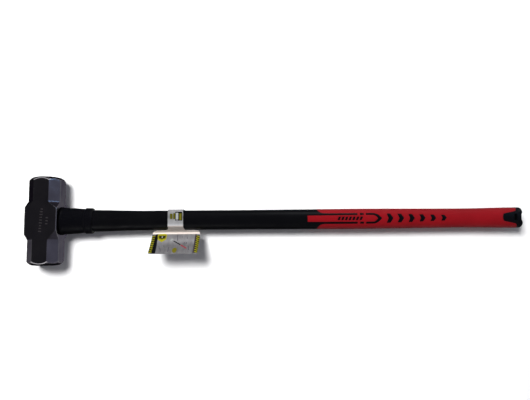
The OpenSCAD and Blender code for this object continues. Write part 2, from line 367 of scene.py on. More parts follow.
def coordinates(tree, stretch=(1, 1, 1)):
    """Object coordinates in metres, stretched by the given factors."""
    source = add_node(tree, "TexCoord", {}).outputs["Object"]
    return add_node(tree, "Mapping", {"Vector": source, "Scale": stretch}).outputs["Vector"]


def noise(tree, vector, scale, detail=4.0, rough=0.55):
    return add_node(tree, "TexNoise", {"Vector": vector, "Scale": scale, "Detail": detail,
                                       "Roughness": rough}).outputs["Fac"]


def cells(tree, vector, scale):
    return add_node(tree, "TexVoronoi", {"Vector": vector, "Scale": scale}).outputs["Distance"]


def spread(tree, value, low, high, from_low=0.3, from_high=0.7):
    """The value's range stretched to low and high, and cut off there."""
    return add_node(tree, "MapRange", {"Value": value, "From Min": from_low, "To Min": low,
                                       "From Max": from_high, "To Max": high}).outputs["Result"]


def blend_color(tree, factor, a, b):
    """A colour between a and b, each a colour or another node's socket."""
    a, b = ((*c, 1) if isinstance(c, tuple) else c for c in (a, b))
    return add_node(tree, "Mix", {"Factor": factor, "A": a, "B": b},
                    data_type="RGBA").outputs["Result"]


def color_ramp(tree, factor, stops):
    """The colour at a factor between stops, each [position, colour]."""
    node = add_node(tree, "ValToRGB", {"Fac": factor})
    elements = node.color_ramp.elements
    for k, (position, color) in enumerate(stops):
        stop = elements[k] if k < 2 else elements.new(position)
        stop.position = position
        stop.color = (*color, 1)
    return node.outputs["Color"]


def mottle(tree, bsdf, field, a, b):
    """Lets the shader's colour wander between two colours with a noise field."""
    tree.links.new(blend_color(tree, spread(tree, field, 0, 1), a, b), bsdf.inputs["Base Color"])


def bump(tree, bsdf, height, distance, strength):
    """A bump on the shader, over any that it has already."""
    inputs = {"Height": height, "Distance": distance, "Strength": strength}
    below = bsdf.inputs["Normal"].links
    if below:
        inputs["Normal"] = below[0].from_socket
    tree.links.new(add_node(tree, "Bump", inputs).outputs["Normal"], bsdf.inputs["Normal"])


def attribute(tree, name):
    return add_node(tree, "Attribute", {}, attribute_name=name).outputs["Fac"]


def head_steel():
    """Blackened forged steel. The attribute read here is 1 on metal rubbed bare, which along the
    edges and creases is also a painted highlight, 0 on the blackened surface, and below 0 where a
    chamfer is painted near black as shade."""
    m, tree, bsdf = shader("head_steel", (0.09, 0.084, 0.104), 0.22, metallic=1.0)
    bsdf.inputs["Specular Tint"].default_value = (0.35, 0.33, 0.38, 1)
    where = coordinates(tree)
    cloud = noise(tree, where, 38, 3)
    brushed = noise(tree, coordinates(tree, (1, 0.12, 1)), 900, 3)
    worn_and_painted_light = attribute(tree, "wear_and_painted_light")
    finish_and_painted_shade = blend_color(tree, spread(tree, cloud, 0, 1), (0.084, 0.081, 0.094),
                         (0.11, 0.105, 0.12))
    # painted shade: near black where the attribute is below 0
    finish_and_painted_shade = blend_color(tree, spread(tree, worn_and_painted_light, 1, 0, -1, 0), finish_and_painted_shade, (0.012, 0.01, 0.012))
    # lighter rubbed metal on edges and creases, partly a painted highlight
    color = blend_color(tree, spread(tree, worn_and_painted_light, 0, 1, 0, 1), finish_and_painted_shade, (0.5, 0.48, 0.5))
    tree.links.new(color, bsdf.inputs["Base Color"])
    tree.links.new(spread(tree, worn_and_painted_light, 1, 0.4, 0, 1), bsdf.inputs["Metallic"])
    tree.links.new(spread(tree, cloud, 0.16, 0.26), bsdf.inputs["Roughness"])
    bump(tree, bsdf, brushed, 0.00002, 0.5)
    bump(tree, bsdf, noise(tree, where, 160, 2), 0.00008, 0.5)
    return m


def moulded(name, base, other, roughness, grain, depth, specular=0.5):
    """Moulded plastic or rubber: a slow change of colour and gloss, and a fine surface grain."""
    m, tree, bsdf = shader(name, base, roughness, specular=specular)
    where = coordinates(tree)
    mottle(tree, bsdf, noise(tree, where, 22), base, other)
    tree.links.new(spread(tree, noise(tree, where, 60, 5), roughness - 0.07, roughness + 0.09),
                   bsdf.inputs["Roughness"])
    bump(tree, bsdf, cells(tree, where, grain), depth, 0.6)
    bump(tree, bsdf, noise(tree, where, 420, 3), 0.00004, 0.5)
    return m


def cast_resin():
    m, tree, bsdf = shader("cast_resin", (0.42, 0.29, 0.09), 0.3, coat=0.3)
    where = coordinates(tree)
    mottle(tree, bsdf, noise(tree, where, 120, 5, 0.65), (0.34, 0.22, 0.06), (0.52, 0.4, 0.15))
    bump(tree, bsdf, cells(tree, where, 650), 0.0002, 0.4)
    return m


def glass_fibre():
    m, tree, bsdf = shader("glass_fibre", (0.6, 0.5, 0.25), 0.45)
    strands = noise(tree, coordinates(tree, (0.05, 1, 1)), 1800, 3)
    mottle(tree, bsdf, strands, (0.5, 0.41, 0.19), (0.72, 0.63, 0.38))
    bump(tree, bsdf, strands, 0.0001, 0.5)
    return m


def coated_card(stops, length):
    """White card with a grey tone printed on its outer side, and painted highlights along its fold
    and its crease. The stops are [distance from the panel's free edge, colour] along the card, over
    the fold and the crease and round the handle."""
    m, tree, bsdf = shader("tag_card", (0.6, 0.57, 0.54), 0.45, specular=0.25)
    where = coordinates(tree)
    fibre = noise(tree, where, 700, 5, 0.7)
    streaks = noise(tree, coordinates(tree, (1.0, 0.3, 0.3)), 170, 4, 0.6)
    # printed grey along the card, with painted highlights at the fold and the crease
    wash_and_painted_light = color_ramp(tree, attribute(tree, "along"), [(at / length, tone) for at, tone in stops])
    color = blend_color(tree, spread(tree, streaks, 0, 0.14), wash_and_painted_light, (0.6, 0.6, 0.62))
    color = blend_color(tree, spread(tree, fibre, 0, 0.1), color, (0.1, 0.1, 0.1))
    tree.links.new(color, bsdf.inputs["Base Color"])
    bump(tree, bsdf, noise(tree, where, 60, 2), 0.0006, 0.35)
    bump(tree, bsdf, fibre, 0.00003, 0.5)
    return m


def ink(name, color, specular=0.04):
    m, tree, bsdf = shader(name, color, 0.5, specular=specular)
    lighter = tuple(min(1.0, c * 1.25 + 0.001) for c in color)
    mottle(tree, bsdf, noise(tree, coordinates(tree), 1500), color, lighter)
    return m


STEEL = head_steel()
ETCHED = ink("etched_mark", (0.0145, 0.0125, 0.014), specular=0.5)
BLACK_RUBBER = (0.0012, 0.0012, 0.002), (0.0018, 0.0018, 0.0028)
JACKET = moulded("jacket_plastic", (0.0014, 0.0014, 0.002), (0.002, 0.002, 0.0026),
                 roughness=0.36, grain=1400, depth=0.00003, specular=0.15)
COLLAR = moulded("collar_rubber", *BLACK_RUBBER,
                 roughness=0.42, grain=1100, depth=0.00005, specular=0.13)
RED = moulded("grip_rubber_red", (0.186, 0.0042, 0.0072), (0.212, 0.005, 0.0085),
              roughness=0.5, grain=1500, depth=0.00006, specular=0.1)
INLAY = moulded("grip_rubber_black", *BLACK_RUBBER,
                roughness=0.45, grain=1500, depth=0.00004, specular=0.12)
CAP = moulded("cap_plastic", (0.0012, 0.0012, 0.0022), (0.0018, 0.0018, 0.003),
              roughness=0.38, grain=1300, depth=0.00004, specular=0.15)
DAM = moulded("dam_foam", (0.03, 0.03, 0.03), (0.05, 0.05, 0.05),
              roughness=0.8, grain=900, depth=0.0002)
RESIN = cast_resin()
FIBRE = glass_fibre()
BLACK, YELLOW, STRIPE, OCHRE, OLIVE, INK_RED, BROWN, GREY, WHITE = (
    ink("ink_" + name, color) for name, color in (
        ("black", (0.0025, 0.0025, 0.0035)), ("yellow", (0.25, 0.23, 0.01)),
        ("stripe", (0.31, 0.29, 0.012)), ("ochre", (0.1, 0.088, 0.007)),
        ("olive", (0.06, 0.057, 0.007)), ("red", (0.2, 0.03, 0.04)),
        ("brown", (0.035, 0.025, 0.03)), ("grey", (0.055, 0.045, 0.06)),
        ("white", (0.24, 0.25, 0.24))))


# ---- Head ----
FLAT = 26.4  # width of the flats between the corner chamfers
EDGE_BREAK = 0.7  # of the cheek's corners
RUNOUT_END = 37.5
# Where each corner's run-out starts and ends, for the two halves of the head. The corners go round
# from the one between the underside and the upper cheek.
RUNOUTS = {1: ((21.5, 35), (22.5, 36.5), (21, 36), (22, 36)),
           -1: ((15.5, 37.5), (23.5, 36), (21, 36), (20, 36))}
EDGE_ROUND = 0.9  # radius along every long edge
FACE_DISC, FACE_ROUND = 19.0, 14.0  # radii of the flat disc and of the rounding beside it
CREASE_ROUND = 0.8  # length of the octagon that the crease's rounding takes
CREASE_TURN = 0.055  # and the turn of the face that it takes, in radians
CHAMFER_PAINTED_SHADE = -0.4  # painted shade, near black, on the chamfer between the crown and the upper cheek, on the +Y half
CREASE_WEAR_AND_HIGHLIGHT = {1: 0.75, -1: 1.0}  # rubbed metal and painted highlight on the upper cheek's edge, for the two halves of the head
EYE = np.array([37.0, 28.0])  # height and width
CORE = np.array([27.0, 20.0])
CORE_BORE = 14.2, 10.8  # half height and half thickness of the jacket's bore


def chamfer_distance(y, corner):
    """From the head's axis to a corner chamfer: the octagon's at the ends, and nearly the
    square's corner at the cheeks. The run-out curves in and out at its ends."""
    start, stop = RUNOUTS[1 if y > 0 else -1][corner]
    t = np.clip((abs(y) - start) / (stop - start), 0, 1)
    slope = 0.22  # share of the run-out that curves at each end
    if t < slope:
        share = t * t / (2 * slope * (1 - slope))
    elif t > 1 - slope:
        share = 1 - (1 - t) ** 2 / (2 * slope * (1 - slope))
    else:
        share = (t - slope / 2) / (1 - slope)
    full = HALF * math.sqrt(2) - EDGE_BREAK
    return full + ((HALF + FLAT / 2) / math.sqrt(2) - full) * share


def octagon_section(y, flat_points=9, chamfer_points=7, arc_points=5):
    """Points [x, z] and a value for rubbed metal and painted light round the head's axis for one
    section, with rounded corners. The value is greatest in the middle of a corner's rounding, where
    the lighter edge is partly a painted highlight, and below 0 on the chamfer that is painted near
    black as shade."""
    # the long edges painted lighter, partly rubbed metal and partly a painted highlight, less
    # towards the ends
    edge_wear_and_highlight = 0.3 - 0.22 * float(smooth((abs(y) - 24) / 8))
    # painted shade: the chamfer between the crown and the upper cheek is made near black on the +Y
    # half
    black = CHAMFER_PAINTED_SHADE * float(smooth((y - 20) / 10))
    angles = np.radians(np.arange(9) * 45.0)
    normals = np.column_stack([np.cos(angles), np.sin(angles)])
    distance = np.full(9, HALF - EDGE_ROUND)
    distance[1::2] = [chamfer_distance(y, k) - EDGE_ROUND for k in range(4)]
    corners = [np.linalg.solve(normals[k:k + 2], distance[k:k + 2]) for k in range(8)]
    rows = []
    for k in range(8):
        start, stop = (c + EDGE_ROUND * normals[k] for c in (corners[k - 1], corners[k]))
        for t in np.linspace(0, 1, chamfer_points if k % 2 else flat_points):
            rows.append((*(start + (stop - start) * t), black if k == 3 else 0.0))
        for t in np.linspace(0, 1, arc_points + 1)[1:-1]:
            turn = angles[k] + math.radians(45) * t
            rows.append((*(corners[k] + EDGE_ROUND * np.array([math.cos(turn), math.sin(turn)])),
                         edge_wear_and_highlight * math.sin(math.pi * t)))
    return np.array(rows)


def face_point(turn):
    """[distance from the axis, y] on the turned face, where its surface has turned this far."""
    return (FACE_DISC + FACE_ROUND * math.sin(turn),
            HEAD_HALF_LENGTH - FACE_ROUND + FACE_ROUND * math.cos(turn))


def meridian(radius):
    """Points [radius, y] from the octagon's surface over the crease and the turned face to the
    flat disc, with the value for the crease's rubbed metal and painted highlight."""
    turn = math.asin(np.clip((radius - FACE_DISC) / FACE_ROUND, 0, 1))
    crease = face_point(turn)[1]
    entry, leave_turn = crease - CREASE_ROUND, turn - CREASE_TURN
    rows = [(radius, y, 0.0) for y in np.linspace(RUNOUT_END, entry, 9)[1:]]
    arc = bezier((radius, entry), (radius, crease), face_point(leave_turn), 4)[1:4]
    # the crease and the rim of the face painted lighter, partly rubbed metal and partly a painted
    # highlight
    rows += [(*p, w) for p, w in zip(arc, (0.8, 1.0, 1.0))]
    rows += [(*face_point(a), max(0.0, 1 - 0.4 * k))
             for k, a in enumerate(np.linspace(leave_turn, 0, 15))]
    return rows + [(FACE_DISC * share, HEAD_HALF_LENGTH, 0.0) for share in (0.8, 0.55, 0.3, 0.1)]


def head_end(side):
    """Rings, and values for rubbed metal, painted highlight and painted shade, from the end of the
    run-outs to the middle of one striking face.
    """
    octagon = octagon_section(side * RUNOUT_END)
    radii = np.hypot(octagon[:, 0], octagon[:, 1])
    rings, wear_and_painted_light = [], []
    for row in zip(*(meridian(r) for r in radii)):
        ring, worn_and_painted_light = [], []
        for (x, z, edge), radius, (r, y, w) in zip(octagon, radii, row):
            ring.append((x / radius * r, side * y, z / radius * r))
            # the upper cheek's crease takes the full painted highlight, the others a little
            w *= CREASE_WEAR_AND_HIGHLIGHT[side] if z > HALF - 0.3 else 0.15
            worn_and_painted_light.append(max(w, edge) if w > 0 or edge > 0 else edge)
        rings.append(np.array(ring))
        wear_and_painted_light.append(np.array(worn_and_painted_light))
    return rings, wear_and_painted_light


def head_mesh():
    """The head as rings round its own axis, from one striking face to the other."""
    stations = [0, 6, 12] + list(np.linspace(15, RUNOUT_END, 26))
    sections = [(y, octagon_section(y)) for y in [-v for v in stations[:0:-1]] + stations]
    low_rings, low_wear_and_light = head_end(-1)
    high_rings, high_wear_and_light = head_end(1)
    rings = low_rings[::-1] + [np.insert(s[:, :2], 1, y, axis=1) for y, s in sections] + high_rings
    wear_and_painted_light = low_wear_and_light[::-1] + [s[:, 2] for _, s in sections] + high_wear_and_light
    n, count = len(rings[0]), len(rings)
    points = np.vstack(rings + [[(0, -HEAD_HALF_LENGTH, 0), (0, HEAD_HALF_LENGTH, 0)]])
    points[:, 0] += HALF
    last = (count - 1) * n
    faces = [face[::-1] for face in ring_faces(n, count, closed=False)]
    faces += [(i, (i + 1) % n, count * n) for i in range(n)]
    faces += [(last + (i + 1) % n, last + i, count * n + 1) for i in range(n)]
    return points, faces, np.concatenate([*wear_and_painted_light, [0, 0]])


def cut(obj, cutter):
    """Takes the cutter's solid out of the object and removes the cutter."""
    modifier = obj.modifiers.new("cut", "BOOLEAN")
    modifier.operation = "DIFFERENCE"
    modifier.solver = "EXACT"
    modifier.object = cutter
    done = obj.evaluated_get(bpy.context.evaluated_depsgraph_get())
    mesh = bpy.data.meshes.new_from_object(done)
    obj.modifiers.clear()
    obj.data = mesh
    bpy.data.objects.remove(cutter)


def build_head():
    points, faces, wear_and_painted_light = head_mesh()
    head = new_object("head_forging", to_row(points), faces, STEEL, sharp=60)
    # rubbed metal, painted highlights and painted shade, for the steel's shader
    values = head.data.attributes.new("wear_and_painted_light", "FLOAT", "POINT")
    values.data.foreach_set("value", wear_and_painted_light.astype(np.float32))
    flare = 1.2  # the eye opens out where it meets the crown and the underside
    mouth = EYE + 2 * (flare + 1)
    cut(head, loft("cutter", stadium_rings([
        (-1.0, *mouth), (flare, *EYE), (HEAD_END - flare, *EYE), (HEAD_END + 1.0, *mouth)]),
        STEEL, closed=False))
    head.data.set_sharp_from_angle(angle=math.radians(38))
    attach(head, "hammer")
    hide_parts("hammer_head")


def build_marks():
    """Two rows of plain strokes etched into the upper cheek."""
    strokes = [bar(29.3 + 0.06 * y, y, 5.4 - 0.7 * (k % 3), 2.1, -4, 0.6)
               for k, y in enumerate(-19.5 + 5.0 * np.arange(9))]
    strokes += [bar(40.0 + 0.06 * y, y, 4.2, 2.3, -4, 0.6) for y in -6.2 + 5.4 * np.arange(3)]

    def cheek(uv, lift):
        return np.column_stack([uv, np.broadcast_to(HALF + lift, len(uv))])

    marks = join("cheek_marks", *(
        plate(f"mark_{k}", trimmed_layout(stroke, [], 1.5, 0.15), cheek, 0.2, 0.02, ETCHED,
              lift=0.02) for k, stroke in enumerate(strokes)))
    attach(marks, "hammer")


def build_eye():
    """The resin's skin dips between the eye and the core, and the core's end is ground flat."""
    back, end = HEAD_END - 4, HEAD_END - 0.1
    rows = [(1.0 + 0.9 * math.sin(math.pi * share) ** 0.7,
             *(EYE - 0.05 + (CORE - EYE + 0.1) * share)) for share in np.linspace(0, 1, 9)]
    rows += [(back, *(CORE + 0.05)), (back, *(EYE - 0.05))]
    resin = loft("resin_fill", stadium_rings(rows[::-1]), RESIN)
    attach(resin, "hammer")
    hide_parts("eye_resin")
    rows = [(back + 0.1, *(EYE - 0.1)), (end - 0.7, *(EYE - 0.1)), (end, *(EYE - 1.2)),
            (end, *(CORE + 0.1)), (back + 0.1, *(CORE + 0.1))]
    dam = loft("dam_ring", stadium_rings(rows), DAM)
    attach(dam, "hammer")
    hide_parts("resin_dam")
    rows = [(1.5, *(CORE - 1.2)), (2.1, *CORE), (END - 26, *CORE), (END - 25, *(CORE - 1.6))]
    core = loft("fibre_core", stadium_rings(rows), FIBRE, closed=False)
    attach(core, "hammer")
    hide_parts("core_rod")


# ---- Collar ----
def build_collar():
    """A tapered sleeve with a lip against the head and a bead round its other end."""
    bead = COLLAR_END - 13.5
    bore = NECK + 0.05
    line = rounded([
        (HEAD_END + 0.1, bore), (HEAD_END + 0.1, 25.9), (HEAD_END + 2.6, 25.9),
        (HEAD_END + 4.6, 24.9), (bead - 2.4, 22.35), (bead - 0.6, 22.2), (bead + 0.3, 23.7),
        (COLLAR_END - 2.2, 23.5), (COLLAR_END, 22.6), (COLLAR_END, bore),
    ], 1.3, closed=False, steps=5)
    line = resample(line, 3.0, closed=False)[::-1]
    collar = loft("overstrike_sleeve", oval_rings([(x, h, h * OVAL) for x, h in line], 128), COLLAR)
    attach(collar, "hammer")
    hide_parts("overstrike_collar")


# ---- Handle ----
def front_line():
    """The border of jacket and cover over the upper side, from one side of the handle round the
    red strip to the other, as a plan line."""
    upper = rounded(np.vstack([
        [(GRIP, STRIP_START), (LINE_END, STRIP_HALF), (LINE_END, LINE_OUTER)],
        bezier((SHOULDER_END, LINE_OUTER), (SHOULDER + 3.4, LINE_OUTER),
               (SHOULDER, float(half_height(SHOULDER))), 10),
    ]), 0.7, closed=False)
    return np.vstack([upper[::-1] * MIRROR, upper])


def on_upper_side(plan_line):
    """A plan line on the handle's upper side, with its two ends on the join with the lower."""
    line = on_side(resample(plan_line, 1.5, closed=False))
    line[0, 1], line[-1, 1] = -SIDE, SIDE
    return line


def tongue_line():
    """The border of cover and butt cap over the upper side."""
    half = np.vstack([
        bezier((TONGUE_TIP, 0), (TONGUE_TIP, 6.8), (TONGUE_TIP + 4, 7.4), 6),
        bezier((TONGUE_TIP + 5, 7.8), (END - 22, 10.0), (END - 14.5, 12.0), 8),
        bezier((END - 14.5, 12.0), (END - 11, 13.2), (CAP_EDGE, FLARE), 8)[1:],
    ])
    return np.vstack([half[:0:-1] * MIRROR, half])


def outline_loops():
    """The pointed outline and its two dashes, as plan loops."""
    start, bend_x, tip = GRIP + 108.6, GRIP + 121.5, GRIP + 138.4
    outer = np.vstack([[(start, LINE_OUTER)],
                       bezier((bend_x, LINE_OUTER), (bend_x + 9, LINE_OUTER - 0.2), (tip, 0), 10)])
    inner = np.vstack([[(start, STRIP_HALF)],
                       bezier((bend_x, STRIP_HALF), (bend_x + 5, STRIP_HALF), (tip - 7.7, 0), 8)])
    arch = np.vstack([outer, outer[-2::-1] * MIRROR, inner * MIRROR, inner[-2::-1]])
    dashes = [bar(GRIP + 101.1, side * (STRIP_HALF + LINE_OUTER) / 2, 7.2,
                  LINE_OUTER - STRIP_HALF, corner=0.5) for side in (1, -1)]
    return [arch] + dashes


def bar_loops():
    """Seven slanted marks on the strip."""
    shape = np.array([(-1.4, -3.4), (2.8, -3.4), (5.6, 3.4), (1.4, 3.4)])
    return [rounded(shape + [GRIP + 56.5 + 6.8 * k, 0], 0.5) for k in range(7)]


def chevron_loops():
    """Six arrowheads, each lower and shorter than the last."""
    loops = []
    for k in range(6):
        high, span, arm = 8.8 * (1 - 0.075 * k), 12.5 * (1 - 0.03 * k), 7.2 * (1 - 0.02 * k)
        notch = span - 1.25 * arm
        shape = np.array([(0, high), (arm, high), (span, 0), (arm, -high), (0, -high), (notch, 0)])
        loops.append(rounded(shape + [GRIP + 146.9 + 20.4 * k, 0], 1.1))
    return loops


def laid(plan_loop):
    return on_side(resample(plan_loop, 1.0))


def shrunk(loop, amount):
    """A layout loop moved in by a small amount all round."""
    loop = loop if area(loop) > 0 else loop[::-1]
    along = np.roll(loop, -1, axis=0) - np.roll(loop, 1, axis=0)
    along /= np.maximum(np.linalg.norm(along, axis=1), 1e-9)[:, None]
    return loop + np.column_stack([-along[:, 1], along[:, 0]]) * amount


def inlay(name, loops, nodes, lower):
    """Black pieces of the grip's pattern, a hair prouder than the cover round them."""
    layouts = [trimmed_layout(shrunk(laid(loop), 0.06), [], 1.6, 0.35) for loop in loops]
    piece = join(name, *(
        plate(f"{name}_{k}", layout, handle_surface, COVER_WALL - 0.1, 0.28, INLAY, lift=0.12,
              lower=lower) for k, layout in enumerate(layouts)))
    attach(piece, "hammer")
    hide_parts(*nodes)


def build_jacket():
    """The shaft and the two lines beside the strip, and the sleeve that runs on under the cover."""
    start = HEAD_END + 1
    outer = np.vstack([[(start, SIDE), (start, -SIDE)], on_upper_side(front_line())])
    layout = trimmed_layout(outer, [], 3.2, 0.4, join_at=SIDE)
    skin = plate("jacket_skin", layout, handle_surface, COVER_WALL, 0.25, JACKET, both=True)
    xs = np.linspace(start, END - 22, 90)
    wall = COVER_WALL - 0.02
    under = [(x, half_height(x) - wall, half_height(x) * OVAL - wall) for x in xs]
    bore = [(x, *CORE_BORE) for x in (xs[-1], xs[0])]
    sleeve = loft("jacket_sleeve", oval_rings((under + bore)[::-1], 72), JACKET)
    jacket = join("shaft_skin", skin, sleeve)
    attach(jacket, "hammer")
    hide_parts("shaft_jacket")


def build_cover():
    holes = [laid(l) for l in outline_loops() + bar_loops() + chevron_loops()]
    outer = np.vstack([on_upper_side(front_line())[::-1], on_upper_side(tongue_line())])
    layout = trimmed_layout(outer, holes, 2.6, 0.45, join_at=SIDE)
    cover = plate("grip_skin", layout, handle_surface, COVER_WALL - 0.1, 0.3, RED, both=True)
    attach(cover, "hammer")
    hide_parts("grip_cover")


# ---- Butt cap ----
RIM = END - END_ROUND
ARC = 8.0  # length of the rounding from the rim to the flat end
CLOSE = 8.0  # length in the layout over which the flat end closes to its middle
SLOT_X = END - 15
SLOT_WIDTH, SLOT_HEIGHT, SLOT_WALL = 5.4, 12.6, 1.4
SADDLE_DEPTH = 4.2
SADDLE_FLAT, SADDLE_SIDE = 4.0, 8.0  # half width of its floor, and width of each side
BOXY = 3.2  # power of the section's outline at the end of the cap, where 2 is an ellipse


def soft_min(a, b, width):
    d = np.clip((width - np.abs(a - b)) / (2 * width), 0, 1)
    return np.minimum(a, b) - d * d * width


def cap_surface(uv, lift):
    """The handle's surface carried over the rounded rim to the middle of its end, with the saddle
    that leaves two lobes."""
    u, phi = uv[:, 0], uv[:, 1] / RADIUS
    turn = np.clip((u - RIM) / ARC, 0, 1) * math.pi / 2
    close = np.clip((u - RIM - ARC) / CLOSE, 0, 1)
    x = np.minimum(u, RIM) + (END_ROUND + lift) * np.sin(turn)
    b = half_height(np.minimum(u, RIM))
    inset = END_INSET * (1 - np.cos(turn))
    grow = lift * np.cos(turn)
    high = (b - inset + grow) * (1 - close)
    thick = (b * OVAL - inset + grow) * (1 - close)
    power = 2 / (2 + (BOXY - 2) * smooth((u - CAP_EDGE) / (RIM + ARC - CAP_EDGE)))
    y = high * np.sign(phi) * np.abs(np.sin(phi)) ** power
    z = thick * np.maximum(np.cos(phi), 0) ** power
    rise = smooth((np.abs(y) - SADDLE_FLAT) / SADDLE_SIDE)
    saddle = END - SADDLE_DEPTH + (SADDLE_DEPTH + 0.8) * rise
    x = soft_min(x, saddle + np.minimum(lift, 0), 0.6)
    return np.column_stack([x, y, z])


def build_cap():
    """The cap's skin and the wall that lines its slot from one side to the other."""
    close_u = RIM + ARC + CLOSE
    outer = np.vstack([on_upper_side(tongue_line())[::-1], [(close_u, -SIDE), (close_u, SIDE)]])
    a, b = SLOT_WIDTH / 2, SLOT_HEIGHT / 2
    slot = rounded([(SLOT_X + x, y) for x, y in ((-a, -b), (a, -b), (a, b), (-a, b))], 1.2)
    layout = trimmed_layout(outer, [laid(slot)], 0.9, 0.5, join_at=SIDE)
    skin = plate("cap_skin", layout, cap_surface, COVER_WALL - 0.1, 0.35, CAP, both=True)
    hole = resample(slot, 0.8)
    out = hole - hole.mean(axis=0)
    wall = hole + out * SLOT_WALL / np.linalg.norm(out, axis=1)[:, None]
    top = 14.2  # within the thickness of the skin
    rings = [np.insert(loop, 2, z, axis=1)
             for loop, z in ((wall, -top), (wall, top), (hole, top), (hole, -top))]
    cap = join("butt_end", skin, loft("slot_wall", rings, CAP))
    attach(cap, "hammer")
    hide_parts("butt_cap")


# ---- Tag ----
CARD_THICK = 0.5
STRAP_HALF, STRAP_TOP = 14.0, 15.95  # half width, and height over the handle's axis
STRAP_FAR = 19.25  # y of its side away from the panel
SKEW = 2.4  # how far the panel's free edge is off to one side
FOLD, BAND, CREASE = (-24.0, -1.0), (-20.3, 1.4), (-11.2, STRAP_TOP)  # y, z of the bends
FOLD_REACH = 1.8  # from the fold to where the card is straight
TAG_CORNERS = [  # across the handle, from the free edge to the glued end: y, z, reach
    (-61.8, 31.9, 0), (-41.8, 13.2, 14), (FOLD[0], FOLD[1] - 0.2, FOLD_REACH), (*BAND, 1.5),
    (*CREASE, 0.8), (STRAP_FAR, STRAP_TOP, 8.3), (STRAP_FAR, -STRAP_TOP, 8.3),
    (-15.6, -STRAP_TOP, 9), (-20.7, -0.9, 2.0), (-22.3, -1.2, 0),
]


def tag_line():
    """The card's line as points [y, z], dense enough to bend smoothly."""
    corners = np.array(TAG_CORNERS)
    points = [corners[0, :2]]
    for before, here, after in zip(corners, corners[1:], corners[2:]):
        points.extend(corner_curve(before[:2], here[:2], after[:2], here[2], 0.48, 10))
    return resample(np.array([*points, corners[-1, :2]]), 0.5, closed=False)


TAG = tag_line()
TAG_LENGTH = np.concatenate([[0], np.cumsum(np.linalg.norm(np.diff(TAG, axis=0), axis=1))])
TAG_NORMAL = np.gradient(TAG, TAG_LENGTH, axis=0)[:, ::-1] * [-1, 1]
TAG_END = TAG_LENGTH[-1]


def length_at(point):
    """Distance along the card's line to its point nearest to [y, z]."""
    return TAG_LENGTH[np.argmin(np.sum((TAG - point) ** 2, axis=1))]


FOLD_AT, BAND_AT, CREASE_AT = (length_at(point) for point in (FOLD, BAND, CREASE))
STRAP_AT = length_at((0, STRAP_TOP))  # over the middle of the handle


def tag_surface(uv, lift):
    """Layout points [across the card, along it from the free edge] on the folded card. Lift is
    towards the printed side."""
    u, v = uv[:, 0], np.clip(uv[:, 1], 0, TAG_END)
    y, z = (np.interp(v, TAG_LENGTH, TAG[:, k]) + lift * np.interp(v, TAG_LENGTH, TAG_NORMAL[:, k])
            for k in range(2))
    return np.column_stack([STRAP_X + u - SKEW * (1 - np.minimum(v / FOLD_AT, 1)), y, z])


def card_stops():
    """The printed grey on the card, with painted highlights over its fold and its crease, as
    [distance from the panel's free edge, colour].
    """
    panel = ((0.0, 0.1), (0.12, 0.08), (0.2, 0.066), (0.4, 0.078), (0.5, 0.11), (0.6, 0.164),
             (0.66, 0.176), (0.72, 0.139), (0.82, 0.108), (0.92, 0.112))
    # the beige print over the fold and the band, with painted highlights on the fold and just
    # before the crease
    beige_and_painted_highlights = ((FOLD_AT - 1.5, 0.4), (FOLD_AT - 0.6, 0.85), (FOLD_AT + 0.8, 0.9),
             (FOLD_AT + 2.0, 0.45), (BAND_AT + 1.6, 0.42), (BAND_AT + 6, 0.42),
             (BAND_AT + 13, 0.5), (CREASE_AT - 0.8, 0.7))
    strap = ((0.6, 0.4), (2.6, 0.28), (5, 0.21), (10, 0.18), (16, 0.1), (22, 0.17), (28, 0.2))
    stops = [(FOLD_AT * share, (tone, tone * 0.97, tone)) for share, tone in panel]
    stops += [(at, (tone, tone * 0.88, tone * 0.79)) for at, tone in beige_and_painted_highlights]
    stops += [(CREASE_AT + at, (tone * 0.98, tone * 0.98, tone)) for at, tone in strap]
    return stops + [(TAG_END, (0.45, 0.44, 0.42))]


def build_card():
    w, s, band = PANEL_HALF, STRAP_HALF, BAND_AT + 1.6
    right = np.vstack([
        rounded([(0, 0), (w, 0), (w, band / 2)], 3.5, closed=False)[1:],
        rounded([(w, band / 2), (w, band), (s, band), (s, TAG_END)], 10.0, closed=False)[1:]])
    outline = np.vstack([right, right[::-1] * -MIRROR])
    layout = trimmed_layout(outline, [], 1.7, 0.12)
    card = plate("tag_paper", layout, tag_surface, CARD_THICK, 0.04,
                 coated_card(card_stops(), TAG_END), lift=CARD_THICK / 2)
    rows = np.array([v.co for v in card.data.vertices]) - [0, 0, AXIS_Z]
    lengths = np.array([length_at(row[1:] * MM) for row in rows])
    along = card.data.attributes.new("along", "FLOAT", "POINT")
    along.data.foreach_set("value", (lengths / TAG_END).astype(np.float32))
    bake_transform(card)
    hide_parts("tag_strap", "tag_panel")


def print_on(name, body, place, shapes):
    """Ink shapes [ink, loop, layer] on the card, as one piece that rides on the body. Place turns
    a loop into one on the card's layout."""
    parts = []
    for k, (material, loop, layer) in enumerate(shapes):
        lift = CARD_THICK / 2 + 0.03 * (layer + 1)
        parts.append(plate(f"{name}_{k}", trimmed_layout(place(loop), [], 2.0, 0.04), tag_surface,
                           0.06, 0.0, material, lift=lift))
    ink_piece = join(name, *parts)
    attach(ink_piece, body)


def on_panel(loop):
    """A loop drawn as [across, distance below the fold]."""
    return np.array([(x, FOLD_AT - down) for x, down in loop])


def on_strap(loop):
    """A loop drawn as [across, y] on the strap's upper side."""
    return np.array([(x, STRAP_AT + y) for x, y in loop])


def stripes(left, right, slant, start=5.0, stop=48.0, count=9):
    """A dark border strip with slanted yellow bars across it."""
    shapes = [(BLACK, [(left, start), (right, start), (right, stop), (left, stop)], 0)]
    pitch = (stop - start) / count
    lean, width, margin = slant * pitch * 0.45, pitch * 0.3, 0.3
    for k in range(count):
        down = start + pitch * (k + 0.2)
        a, b = down + max(lean, 0), down + max(-lean, 0)
        x0, x1 = left + margin, right - margin
        shapes.append((STRIPE, [(x0, a), (x1, b), (x1, b + width), (x0, a + width)], 1))
    return shapes


